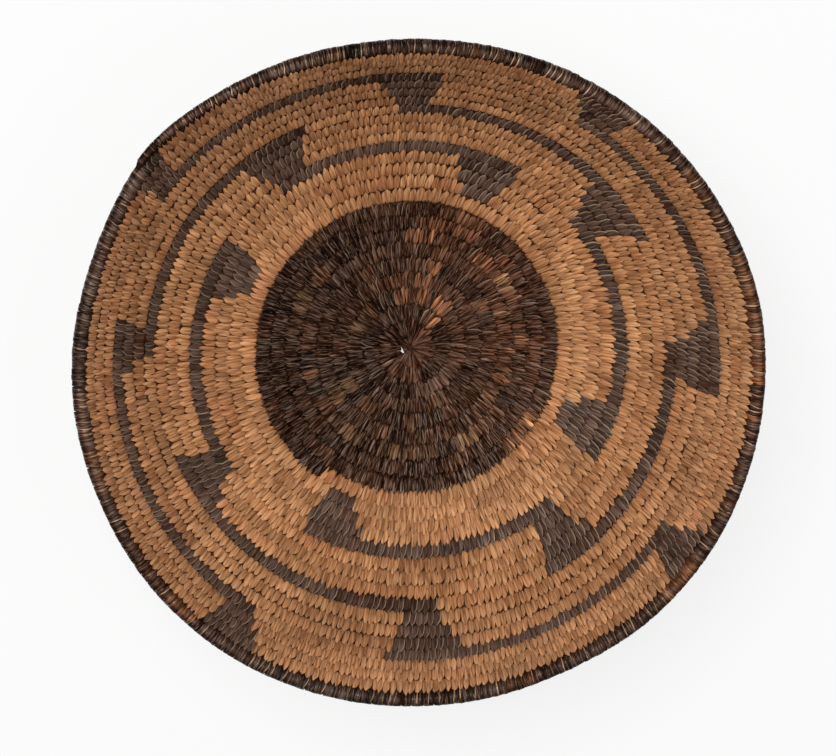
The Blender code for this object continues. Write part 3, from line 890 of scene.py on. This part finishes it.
def splint_material(name):
    """Split plant fibre: the stitch's own colour, streaked lengthwise, with thin paler slivers.

    The fibres map counts millimetres across and along each splint. Noise on it, drawn out
    lengthwise, gives the streaks, the relief and the gloss. A finer noise passes a limit only
    here and there, and gives the slivers, which are partly pale split fibres and partly painted
    glints. A broader noise turns the colour yellower or bluer. A slow noise over the whole tray
    gives its age. Along one edge runs a pale line, partly a pale cut edge and partly a painted
    glint, as strong as the stitch's colour says in its fourth value.
    """
    if name in bpy.data.materials:
        return bpy.data.materials[name]
    roughness, dark, pale, limit, sliver_colour, bump, specular, gloss_tint, edge_tone = SPLINTS[name]
    material = bpy.data.materials.new(name)
    tree = empty_tree(material)
    colour = add_node(tree, "ShaderNodeAttribute", attribute_name="splint_colour")
    side = add_node(tree, "ShaderNodeAttribute", attribute_name="side")
    place = add_node(tree, "ShaderNodeUVMap", uv_map="fibres")
    lengthwise, fine, broad = (
        add_node(tree, "ShaderNodeMapping", ("Vector", place), ("Scale", scale))
        for scale in (STREAKS, SLIVERS, HUES))
    fibre, streak, gloss, shine = noise_steps(
        tree, lengthwise, 1.0, 3.0, STREAK_STEP,
        (*GLOSS_RANGE, roughness + GLOSS_SPREAD, roughness - GLOSS_SPREAD), (*SHINE_RANGE, *specular))
    _, sliver = noise_steps(tree, fine, 1.0, 1.0, (limit, limit + SLIVER_WIDTH, 0.0, SLIVER_COVER))
    _, blush = noise_steps(tree, broad, 1.0, 2.0, HUE_STEP)
    whole = add_node(tree, "ShaderNodeTexCoord").outputs["Object"]
    _, age = noise_steps(tree, whole, AGE_SCALE, 4.0, AGE_STEP)
    hued = product(tree, colour, mixed_colour(tree, blush, YELLOWER, BLUER))
    aged = add_node(tree, "ShaderNodeVectorMath", (0, mixed_colour(tree, streak, dark, pale)),
                    ("Scale", age), operation="SCALE")
    slivered = mixed_colour(tree, sliver, product(tree, hued, aged).outputs[0], sliver_colour)
    near_edge = add_node(tree, "ShaderNodeMapRange", ("Value", side.outputs["Fac"]),
                         ("From Min", LINE_START), ("From Max", LINE_FULL))
    line = add_node(tree, "ShaderNodeMath", (0, near_edge), (1, colour.outputs["Alpha"]),
                    operation="MULTIPLY")
    edge = tuple(getattr(bpy.context.scene.tray_colours, edge_tone))
    relief = add_node(tree, "ShaderNodeBump", ("Strength", bump), ("Distance", RELIEF_DEPTH),
                      ("Height", fibre))
    shader = add_node(tree, "ShaderNodeBsdfPrincipled",
                      ("Base Color", mixed_colour(tree, line, slivered, edge)),
                      ("Roughness", gloss), ("Specular IOR Level", shine),
                      ("Specular Tint", (*gloss_tint, 1.0)), ("Normal", relief))
    add_node(tree, "ShaderNodeOutputMaterial", ("Surface", shader))
    return material


# How each kind of sewing looks: the tones that a splint's colour is mixed from, their shares, how
# much it varies, how far the tips differ (mean, spread), how many stitches have a pale line, partly
# a pale cut edge and partly a painted glint, and how strong, and how dark the edges are, which is
# painted shade in the grooves between stitches. One side of the tray, or two opposite sides, take
# painted light: lighter where the lamps and the fibres' sheen light them more, darker across (share,
# azimuth)
PLAIN_LOOKS = {"loose": 1.0, "patches": {}, "painted_light_side": (0.0, 0.0), "painted_light_two_sides": (0.0, 0.0),
               "outer_tint": (1.0, 1.0, 1.0), "darker_start": 0.0, "path": ROW_PATH,
               "tones": ("devils_claw", "devils_claw_red", "devils_claw_grey"), "slot": "dark_sewing"}
DARK_LOOKS = {"material": "devils_claw_splint", "tooth": (-0.22, 0.26), "shares": (1.6, 1.3, 0.2),
              "spread": 0.34, "pale_share": 0.24, "pale_range": (0.05, 0.5), "edge": 0.12,
              "patches": MIDDLE_PATCHES, "darker_start": 0.20,
              "painted_light_side": (0.49, math.radians(14.0)), "painted_light_two_sides": (0.22, math.radians(45.0))}
RIM_LOOKS = {"material": "rim_claw_splint", "tooth": (0.0, 0.05), "shares": (1.7, 0.6, 1.1),
             "spread": 0.30, "pale_share": 0.50, "pale_range": (0.1, 1.0), "edge": 0.14,
             "patches": RIM_PATCHES, "path": RIM_PATH, "loose": 0.35, "painted_light_side": (0.10, 0.0),
             "painted_light_two_sides": (0.38, math.radians(3.0))}
ARM_LOOKS = {"material": "worn_claw_splint", "tooth": (-0.05, 0.18), "shares": (0.3, 0.3, 3.0),
             "spread": 0.16, "pale_share": 0.88, "pale_range": (0.15, 0.75), "edge": 0.45,
             "painted_light_side": (0.07, math.radians(123.0))}
WILLOW_LOOKS = {"material": "willow_splint", "slot": "willow_sewing",
                "tones": ("willow", "willow_brown"), "tooth": (0.0, 0.20), "shares": (4.0, 2.4),
                "spread": 0.08, "pale_share": 0.0, "pale_range": (0.0, 1.0), "edge": 0.86,
                "painted_light_two_sides": (0.05, 0.0), "outer_tint": (0.93, 0.94, 0.98)}


def chance_for(number):
    """Random draws of one piece's own, from the seed and the piece's number."""
    return np.random.default_rng((bpy.context.scene.tray_sizes.seed, number))


def knot_radius(azimuth):
    """The knot's radius: it follows the spiral where the coil hasn't begun, and draws in at the slit."""
    past_start = ((azimuth - START_AZIMUTH) / math.tau) % 1.0
    spiral = PITCH_AT_START * np.where(past_start < START_TURN, past_start, 0.0)
    return KNOT_SIZE + spiral - SLIT_IN * slit_share(azimuth)


class TRAY_OT_start_knot(bpy.types.Operator):
    """Sews the knot that the coil starts from, with a small slit between it and the first turn"""

    bl_idname = "tray.start_knot"
    bl_label = "Start Knot"

    def execute(self, context):
        """Each splint is a loop round the knot's rods: from its middle out, under and back."""
        colours = context.scene.tray_colours
        thickness = context.scene.tray_sizes.splint_thickness
        chance = chance_for(1)
        stitches = KNOT_STITCHES
        section = ring_angles(KNOT_CORNERS)
        across = 0.5 - 0.5 * np.cos(section)
        lift = HALF_COIL * np.sign(np.sin(section)) * np.abs(np.sin(section)) ** KNOT_SQUARENESS
        lift = lift * (KNOT_HEIGHT + KNOT_EDGE_GAIN * across)
        wander = chance.uniform(-KNOT_WANDER, KNOT_WANDER, stitches)
        spoke = math.tau * (np.arange(stitches) + wander) / stitches
        half = math.pi / stitches * chance.uniform(*KNOT_WIDTHS, stitches)
        angle = spoke[:, None, None] + half[:, None, None] * SIDES
        deeper = thickness * SIDE_DEPTH
        outside = knot_radius(angle) * chance.uniform(*KNOT_REACHES, stitches)[:, None, None]
        ring = KNOT_HOLE + (outside - KNOT_HOLE - deeper) * across[None, :, None] ** KNOT_RUN
        high = lift[None, :, None] * (1.0 - deeper / HALF_COIL)
        points = TRAY_AXIS + together(ring * np.cos(angle), ring * np.sin(angle), HALF_COIL + high)
        here = np.arange(KNOT_CORNERS)
        loop = ring_faces(here, (here + 1) % KNOT_CORNERS, len(SIDES))
        tone = splint_colours([colours.devils_claw, colours.devils_claw_red], np.arange(stitches), chance,
                              KNOT_SHARES, KNOT_SPREAD)
        # Painted shade towards the knot's middle and under each loop
        shade = KNOT_SHADE + (1.0 - KNOT_SHADE) * np.sqrt(across) * (np.sin(section) > -0.5)
        fibres = fibre_places(chance, stitches, half[:, None, None] * SIDES * FIBRES_KNOT,
                              section[None, :, None] * FIBRES_ROUND)
        piece = add_mesh("knot_stitches", points, copied(loop, stitches, KNOT_CORNERS * len(SIDES)),
                         shaded(tone, shade, DARK_LOOKS["edge"]), fibres,
                         splint_material("devils_claw_splint"))
        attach(piece, "root")
        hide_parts("start_knot")
        return {"FINISHED"}


def lay_bundle(sizes, rods):
    """An oval section carried along the spiral, inside the sewing, each row just into the next."""
    turn = np.linspace(START_TURN, END_TURN - BUNDLE_STOP, BUNDLE_PLACES)
    inner, row, thin = row_at(turn, sizes.seam_wander)
    into_next = np.where(turn > END_TURN - RIM_TURNS, 0.0, INTO_NEXT_ROW)
    section = ring_angles(BUNDLE_CORNERS)
    across = 0.5 * (1.0 + np.sin(section))
    reach = row[:, None] * across + np.where(np.sin(section) > 0.5, into_next[:, None], 0.0)
    drawn = face_draw(turn, across, np.cos(section)) * thin[:, None]
    arc = inner[:, None] + reach + drawn
    lift = (HALF_COIL * BUNDLE_THICKNESS * thin)[:, None] * np.cos(section)
    points = wall_point(arc, azimuth_at(turn[:, None]), lift)
    along = np.interp(turn, *COIL_TABLE)[:, None] * TO_MILLIMETRES
    fibres = together(section[None] * FIBRES_ROUND, along)
    near_end = np.minimum(np.abs(turn - END_TURN), np.abs(turn - END_TURN + 1.0))
    shade = 1.0 - END_SHADE * (1.0 - smooth_step(near_end, *END_FADE))
    add_rods("foundation_bundle", points, fibres, rods * shade[:, None, None])


def lay_knot_rods(rods):
    """The rods inside the knot: a short tube whose radius follows a half circle along its length."""
    share = np.linspace(-KNOT_RODS_END, KNOT_RODS_END, KNOT_RODS_PLACES)
    reach = KNOT_SIZE - SLIT_IN - KNOT_RODS_IN
    section = ring_angles(BUNDLE_CORNERS)
    thick = np.sqrt(1.0 - share ** 2)[:, None]
    points = TRAY_AXIS + together(reach * share[:, None], reach * thick * np.cos(section),
                                  HALF_COIL + KNOT_RODS_HIGH * thick * np.sin(section))
    fibres = together(section[None] * FIBRES_ROUND, share[:, None] * FIBRES_KNOT)
    add_rods("knot_rods", points, fibres, rods)


def add_rods(name, points, fibres, colour):
    """Makes one or more tubes, given as an array of tubes by places by corners, into a piece."""
    places, corners = points.shape[-3:-1]
    tubes = points.size // (3 * places * corners)
    faces = copied(tube_faces(places, corners), tubes, places * corners)
    piece = add_mesh(name, points, faces, np.broadcast_to(colour, points.shape), fibres,
                     splint_material("foundation_rod"))
    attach(piece, "root")
    return piece


def tube_faces(places, corners):
    """A tube's faces, with each open end shut by a strip across it."""
    tube = ring_faces(np.arange(places - 1), np.arange(1, places), corners)[:, [0, 3, 2, 1]]
    strip = np.array([[i, i + 1, corners - 2 - i, corners - 1 - i] for i in range(corners // 2 - 1)])
    return np.vstack([tube, strip[:, ::-1], (places - 1) * corners + strip])


def lay_rod_ends(rods):
    """Four thin rods that taper to a point against the rim: a circle carried along the coil's line."""
    chance = chance_for(3)
    length, radius, across, rise = ROD_ENDS.T
    inner = float(row_edge(END_TURN))
    row = float(row_edge(END_TURN + 1.0)) - inner
    share = np.linspace(0.0, 1.0, ROD_PLACES)
    section = ring_angles(ROD_CORNERS)
    drawn_in, thinner = (most * share[None] ** power for most, power in (ROD_DRAWS_IN, ROD_THINS))
    centre_arc = inner + row * across[:, None] * (1.0 - drawn_in)
    thick = radius[:, None] * (1.0 - thinner)
    coil_radius = float(np.interp(inner, PROFILE[0], PROFILE[1]))
    angle = (length[:, None] * (share[None] * (1.0 + ROD_BACK) - ROD_BACK)) / coil_radius
    azimuth = azimuth_at(END_TURN) + angle[..., None]
    arc = centre_arc[..., None] + thick[..., None] * np.sin(section)
    lift = rise[:, None, None] + thick[..., None] * np.cos(section)
    points = wall_point(arc, azimuth, lift)
    fibres = fibre_places(chance, len(ROD_ENDS), section[None, None] * FIBRES_ROD,
                          (length[:, None] * share)[..., None] * TO_MILLIMETRES)
    piece = add_rods("rod_ends", points, fibres, rods * (1.0 - END_SHADE))
    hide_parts("foundation_tip")


class TRAY_OT_foundation(bpy.types.Operator):
    """Lays the bundle of rods inside the coil, and the thinned rod ends where it runs out"""

    bl_idname = "tray.foundation"
    bl_label = "Foundation Rods"

    def execute(self, context):
        sizes = context.scene.tray_sizes
        rods = np.array(context.scene.tray_colours.rods)
        lay_bundle(sizes, rods)
        lay_knot_rods(rods)
        lay_rod_ends(rods)
        return {"FINISHED"}


class TRAY_OT_dark_middle(bpy.types.Operator):
    """Sews the dark middle, with its redder splints"""

    bl_idname = "tray.dark_middle"
    bl_label = "Dark Middle"

    def execute(self, context):
        sew("dark_middle", "middle_stitches", DARK_LOOKS, 4)
        return {"FINISHED"}


class TRAY_OT_willow(bpy.types.Operator):
    """Sews the first willow row and the four willow fields"""

    bl_idname = "tray.willow"
    bl_label = "Willow Sewing"

    def execute(self, context):
        nodes = ["first_willow_row"] + ["willow_field_%d" % number for number in range(1, 5)]
        for number, node in enumerate(nodes, start=10):
            sew(node, node + "_stitches", WILLOW_LOOKS, number)
        return {"FINISHED"}


class TRAY_OT_arms(bpy.types.Operator):
    """Sews the four dark stepped arms"""

    bl_idname = "tray.arms"
    bl_label = "Dark Arms"

    def execute(self, context):
        for number, node in enumerate(ARM_RUNS, start=20):
            sew(node, node + "_stitches", ARM_LOOKS, number)
        return {"FINISHED"}


class TRAY_OT_rim(bpy.types.Operator):
    """Sews the rim, where each splint goes round the open outer edge"""

    bl_idname = "tray.rim"
    bl_label = "Rim"

    def execute(self, context):
        sew("rim_coil", "rim_stitches", RIM_LOOKS, 30)
        return {"FINISHED"}


def seen_by_eye(tree):
    """One for rays from the eye, and for rays that a gloss or a glass sends on."""
    rays = add_node(tree, "ShaderNodeLightPath").outputs
    seen = rays["Is Camera Ray"]
    for kind in ("Is Glossy Ray", "Is Transmission Ray"):
        seen = add_node(tree, "ShaderNodeMath", (0, seen), (1, rays[kind]), operation="MAXIMUM")
    return seen


def add_floor(scene):
    """A round floor under the lowest stitch: rings of corners at growing radii about the tray."""
    radii = np.array(FLOOR_RADII)
    angle = ring_angles(FLOOR_CORNERS)
    lowest = min(float(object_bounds()[0].z), 0.0) - FLOOR_GAP
    rings = together(radii[:, None] * np.cos(angle), radii[:, None] * np.sin(angle), lowest)
    bands = ring_faces(np.arange(len(radii) - 1), np.arange(1, len(radii)), FLOOR_CORNERS)
    faces = bands.tolist() + [list(range(FLOOR_CORNERS))]
    mesh = bpy.data.meshes.new("floor")
    mesh.from_pydata(rings.reshape(-1, 3).tolist(), [], faces)
    mesh.update()
    material = bpy.data.materials.new("white_floor")
    tree = empty_tree(material)
    matte = add_node(tree, "ShaderNodeBsdfDiffuse", ("Color", (*FLOOR_GREY, 1.0)))
    white = add_node(tree, "ShaderNodeEmission", ("Color", WHITE), ("Strength", 1.0))
    share = add_node(tree, "ShaderNodeMath", (0, seen_by_eye(tree)), (1, FLOOR_GLOW),
                     operation="MULTIPLY")
    mixed = add_node(tree, "ShaderNodeMixShader", (0, share), (1, matte), (2, white))
    add_node(tree, "ShaderNodeOutputMaterial", ("Surface", mixed))
    mesh.materials.append(material)
    floor = bpy.data.objects.new("floor", mesh)
    scene.collection.objects.link(floor)
    floor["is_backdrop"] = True


def add_world(scene):
    world = bpy.data.worlds.new("studio")
    tree = empty_tree(world)
    soft, white = (add_node(tree, "ShaderNodeBackground", ("Color", WHITE), ("Strength", strength))
                   for strength in (SOFT_LIGHT, 1.0))
    mixed = add_node(tree, "ShaderNodeMixShader", (0, seen_by_eye(tree)), (1, soft), (2, white))
    add_node(tree, "ShaderNodeOutputWorld", ("Surface", mixed))
    scene.world = world


def add_lamp(name, place, size, power):
    light = bpy.data.lights.new(name, "AREA")
    light.shape = "DISK"
    light.size = size
    light.energy = power
    lamp = bpy.data.objects.new(name, light)
    lamp.location = place
    aim = Vector(LAMP_AIM) - Vector(place)
    lamp.rotation_euler = aim.to_track_quat("-Z", "Y").to_euler()
    bpy.context.scene.collection.objects.link(lamp)


def add_camera(scene):
    """Looks at the tray's middle from just above it and a little to its left."""
    back = Vector((-math.sin(CAMERA_LEFT), math.sin(CAMERA_UP), 0.0))
    back.z = math.sqrt(1.0 - back.x ** 2 - back.y ** 2)
    up = (Vector((0.0, 1.0, 0.0)) - back * back.y).normalized()
    right = up.cross(back)
    target = Vector(TRAY_AXIS.tolist()) + Vector((0.0, 0.0, TARGET_HEIGHT))
    data = bpy.data.cameras.new("photo_camera")
    data.sensor_fit = "HORIZONTAL"
    data.sensor_width = SENSOR_WIDTH
    data.lens = SENSOR_WIDTH * CAMERA_DISTANCE / (FRAME_PIXELS[0] * METRES_PER_PIXEL)
    data.shift_x = (0.5 * FRAME_PIXELS[0] - TARGET_PIXEL[0]) / FRAME_PIXELS[0]
    data.shift_y = (TARGET_PIXEL[1] - 0.5 * FRAME_PIXELS[1]) / FRAME_PIXELS[0]
    data.clip_end = FAR_CLIP
    camera = bpy.data.objects.new("photo_camera", data)
    turned = Matrix((right, up, back)).transposed().to_4x4()
    turned.translation = target + back * CAMERA_DISTANCE
    camera.matrix_world = turned
    scene.collection.objects.link(camera)
    scene.camera = camera


class TRAY_OT_stage(bpy.types.Operator):
    """Sets the pale floor, the soft light and the camera"""

    bl_idname = "tray.stage"
    bl_label = "Stage"

    def execute(self, context):
        scene = context.scene
        scene.view_settings.view_transform = "Standard"
        add_floor(scene)
        add_world(scene)
        for lamp in LAMPS:
            add_lamp(*lamp)
        add_camera(scene)
        return {"FINISHED"}


OPERATORS = (TRAY_OT_start_knot, TRAY_OT_foundation, TRAY_OT_dark_middle, TRAY_OT_willow, TRAY_OT_arms,
             TRAY_OT_rim, TRAY_OT_stage)


class TRAY_PT_panel(bpy.types.Panel):
    """Lists the tray's pieces"""

    bl_idname = "TRAY_PT_panel"
    bl_label = "Coiled Basket Tray"
    bl_space_type = "VIEW_3D"
    bl_region_type = "UI"
    bl_category = "Basket Tray"

    def draw(self, context):
        layout = self.layout
        for group in (context.scene.tray_sizes, context.scene.tray_colours):
            for name in group.__annotations__:
                layout.prop(group, name)
        for operator in OPERATORS:
            layout.operator(operator.bl_idname)


CLASSES = (TraySizes, TrayColours) + OPERATORS + (TRAY_PT_panel,)


def register():
    for kind in CLASSES:
        bpy.utils.register_class(kind)
    bpy.types.Scene.tray_sizes = PointerProperty(type=TraySizes)
    bpy.types.Scene.tray_colours = PointerProperty(type=TrayColours)


def unregister():
    del bpy.types.Scene.tray_colours
    del bpy.types.Scene.tray_sizes
    for kind in reversed(CLASSES):
        bpy.utils.unregister_class(kind)


def main():
    register()
    bpy.ops.tray.start_knot()
    bpy.ops.tray.foundation()
    bpy.ops.tray.dark_middle()
    bpy.ops.tray.willow()
    bpy.ops.tray.arms()
    bpy.ops.tray.rim()
    bpy.ops.tray.stage()


if __name__ == "__main__":
    main()
